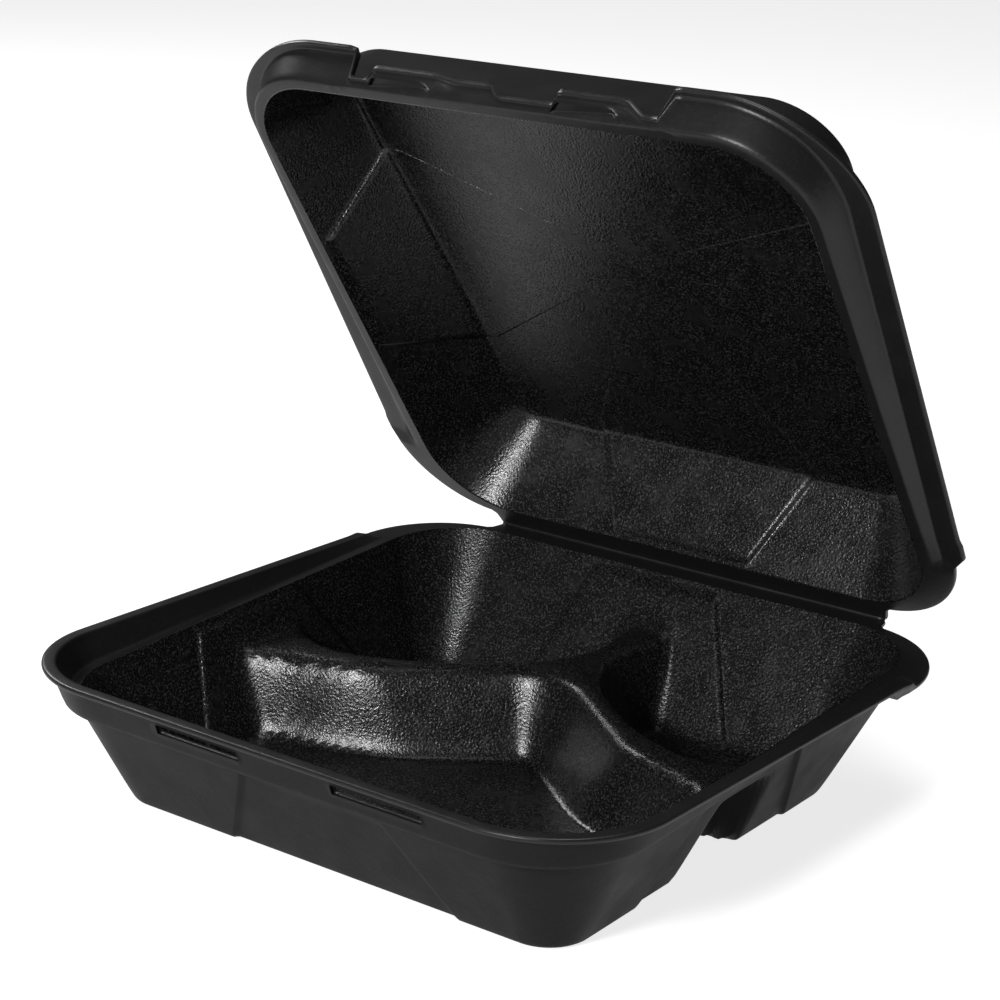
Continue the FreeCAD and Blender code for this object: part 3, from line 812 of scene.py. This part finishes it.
def foam(name, dark, light, rough, sheen, grain, grain_size, glitter):
    """Black foam: grain bump, uneven gloss, and specks roughened by glitter and painted the light
    colour.
    """
    material = bpy.data.materials.new(name)
    material.use_nodes = True
    nodes, links = material.node_tree.nodes, material.node_tree.links
    shader = nodes["Principled BSDF"]
    shader.inputs["Specular IOR Level"].default_value = sheen
    place = nodes.new("ShaderNodeTexCoord")
    fine = add_noise(nodes, links, place, grain_size, 2.0)
    bump = nodes.new("ShaderNodeBump")
    bump.inputs["Strength"].default_value = 1.0
    bump.inputs["Distance"].default_value = grain
    links.new(fine.outputs["Fac"], bump.inputs["Height"])
    links.new(bump.outputs["Normal"], shader.inputs["Normal"])
    broad = add_noise(nodes, links, place, BROAD_PATCH, 4.0)
    patch = spread(nodes, links, broad.outputs["Fac"], 0.3, 0.7, rough - 0.05, rough + 0.05)
    cells = add_noise(nodes, links, place, grain_size * 0.8, 1.0)
    speck = spread(nodes, links, cells.outputs["Fac"], 0.52, 0.72, 0.0, 1.0)
    uneven = nodes.new("ShaderNodeMath")
    uneven.operation = "MULTIPLY_ADD"
    uneven.inputs[1].default_value = glitter
    links.new(speck, uneven.inputs[0])
    links.new(patch, uneven.inputs[2])
    links.new(uneven.outputs[0], shader.inputs["Roughness"])
    # Painted glints: specks take the light colour, strong in the wells, a faint tone elsewhere.
    speck_tone_and_glint = nodes.new("ShaderNodeMix")
    speck_tone_and_glint.data_type = "RGBA"
    speck_tone_and_glint.inputs["A"].default_value = (*dark, 1.0)
    speck_tone_and_glint.inputs["B"].default_value = (*light, 1.0)
    links.new(speck, speck_tone_and_glint.inputs["Factor"])
    links.new(speck_tone_and_glint.outputs["Result"], shader.inputs["Base Color"])
    return material


print("foam recipe is ready, with patches of", BROAD_PATCH * 1000, "mm")

# %% [markdown]
# The wells are glossy and grainy.  The rims were pressed harder, so they are smoother,
# and the outside is satin.  Each ring of a skin belongs to one finish, and the change
# from rim to outside lies under the lip, where the real sheet also turns.

# %% Three finishes
# In the wells the specks are painted far lighter than the skin: painted glints of the grains.
foam_inside = foam("grainy_black_foam", (0.003, 0.003, 0.0034), (0.045, 0.045, 0.047), 0.25, 0.6,
                   0.00018, 0.00085, 0.12)
foam_outside = foam("satin_black_foam", (0.011, 0.011, 0.012), (0.014, 0.014, 0.015), 0.45, 0.14,
                    0.00006, 0.0016, 0.0)
foam_rim = foam("pressed_black_foam", (0.011, 0.011, 0.012), (0.016, 0.016, 0.017), 0.36, 0.4,
                0.00005, 0.0013, 0.0)


def paint(obj, ranges, around):
    """Give each range of rings its own foam; faces know their ring from their first point."""
    for material in (foam_inside, foam_rim, foam_outside):
        obj.data.materials.append(material)
    first = np.array([p.vertices[0] for p in obj.data.polygons]) // around
    kind = np.searchsorted(np.array(ranges), first, side="right")
    obj.data.polygons.foreach_set("material_index", np.clip(kind, 0, 2).astype(np.int32))


hinge.data.materials.append(foam_rim)
TRAY_TURN, LID_TURN = 22, 18        # rows of the rims up to where the lip has turned under
paint(tray, (len(inside), len(inside) + TRAY_TURN), len(SIDE))
paint(lid, (len(lid_inside), len(lid_inside) + LID_TURN), len(SIDE))
print("finishes", [material.name for material in tray.data.materials])

# %% [markdown]
# ## Floor, background and light
#
# The photograph has a plain white ground and soft light from all around, with stronger
# light from the front.  The floor is pale and keeps a soft shadow, and a glow that only
# the camera sees in full lifts it to white.  The foam mirrors half of that glow, and the
# sky gives less light than it shows, so the black foam stays black.

# %% Floor
FLOOR_TONE, FLOOR_GLOW, MIRRORED = 0.55, 0.80, 0.5
floor_mesh = bpy.data.meshes.new("floor")
floor_mesh.from_pydata([(-8, -8, 0), (8, -8, 0), (8, 8, 0), (-8, 8, 0)], [], [(0, 1, 2, 3)])
floor = bpy.data.objects.new("floor", floor_mesh)
bpy.context.scene.collection.objects.link(floor)
ground = bpy.data.materials.new("white_ground")
ground.use_nodes = True
nodes, links = ground.node_tree.nodes, ground.node_tree.links
nodes.remove(nodes["Principled BSDF"])
matte = nodes.new("ShaderNodeBsdfDiffuse")
matte.inputs["Color"].default_value = (FLOOR_TONE, FLOOR_TONE, FLOOR_TONE, 1.0)
glow = nodes.new("ShaderNodeEmission")
rays = nodes.new("ShaderNodeLightPath")
direct = nodes.new("ShaderNodeMath")
direct.operation = "MULTIPLY_ADD"
direct.inputs[1].default_value = MIRRORED
seen = nodes.new("ShaderNodeMath")
seen.operation = "MULTIPLY"
seen.inputs[1].default_value = FLOOR_GLOW
both = nodes.new("ShaderNodeAddShader")
links.new(rays.outputs["Is Glossy Ray"], direct.inputs[0])
links.new(rays.outputs["Is Camera Ray"], direct.inputs[2])
links.new(direct.outputs[0], seen.inputs[0])
links.new(seen.outputs[0], glow.inputs["Strength"])
links.new(matte.outputs[0], both.inputs[0])
links.new(glow.outputs[0], both.inputs[1])
links.new(both.outputs[0], nodes["Material Output"].inputs["Surface"])
floor.data.materials.append(ground)
print("floor tone", FLOOR_TONE, "glow", FLOOR_GLOW)

# %% Sky and lamps
SKY_LIGHT, SKY_SEEN = 0.55, 1.0
world = bpy.data.worlds.new("studio")
bpy.context.scene.world = world
world.use_nodes = True
nodes, links = world.node_tree.nodes, world.node_tree.links
sky = nodes["Background"]
rays = nodes.new("ShaderNodeLightPath")
direct = nodes.new("ShaderNodeMath")
direct.operation = "MAXIMUM"
level = nodes.new("ShaderNodeMapRange")
level.inputs["To Min"].default_value = SKY_LIGHT
level.inputs["To Max"].default_value = SKY_SEEN
links.new(rays.outputs["Is Camera Ray"], direct.inputs[0])
links.new(rays.outputs["Is Glossy Ray"], direct.inputs[1])
links.new(direct.outputs[0], level.inputs["Value"])
links.new(level.outputs["Result"], sky.inputs["Strength"])
bpy.context.scene.view_settings.view_transform = "Standard"


def lamp(name, place, aim, size, power):
    """Square soft box: a lamp of a given size and power that faces a point."""
    light = bpy.data.lights.new(name, "AREA")
    light.size, light.energy = size, power
    obj = bpy.data.objects.new(name, light)
    bpy.context.scene.collection.objects.link(obj)
    toward = Vector(aim) - Vector(place)
    obj.matrix_world = Matrix.Translation(place) @ toward.to_track_quat("-Z", "Y").to_matrix().to_4x4()
    return obj


lamp("soft_box_front", (0.10, -1.75, 1.05), (0, 0, 0.03), 0.36, 30)
lamp("soft_box_left", (-1.6, 0.5, 1.2), (0, 0, 0.03), 0.6, 12)
lamp("soft_box_top", (0.1, 0.1, 2.0), (0, 0, 0.05), 0.8, 12)
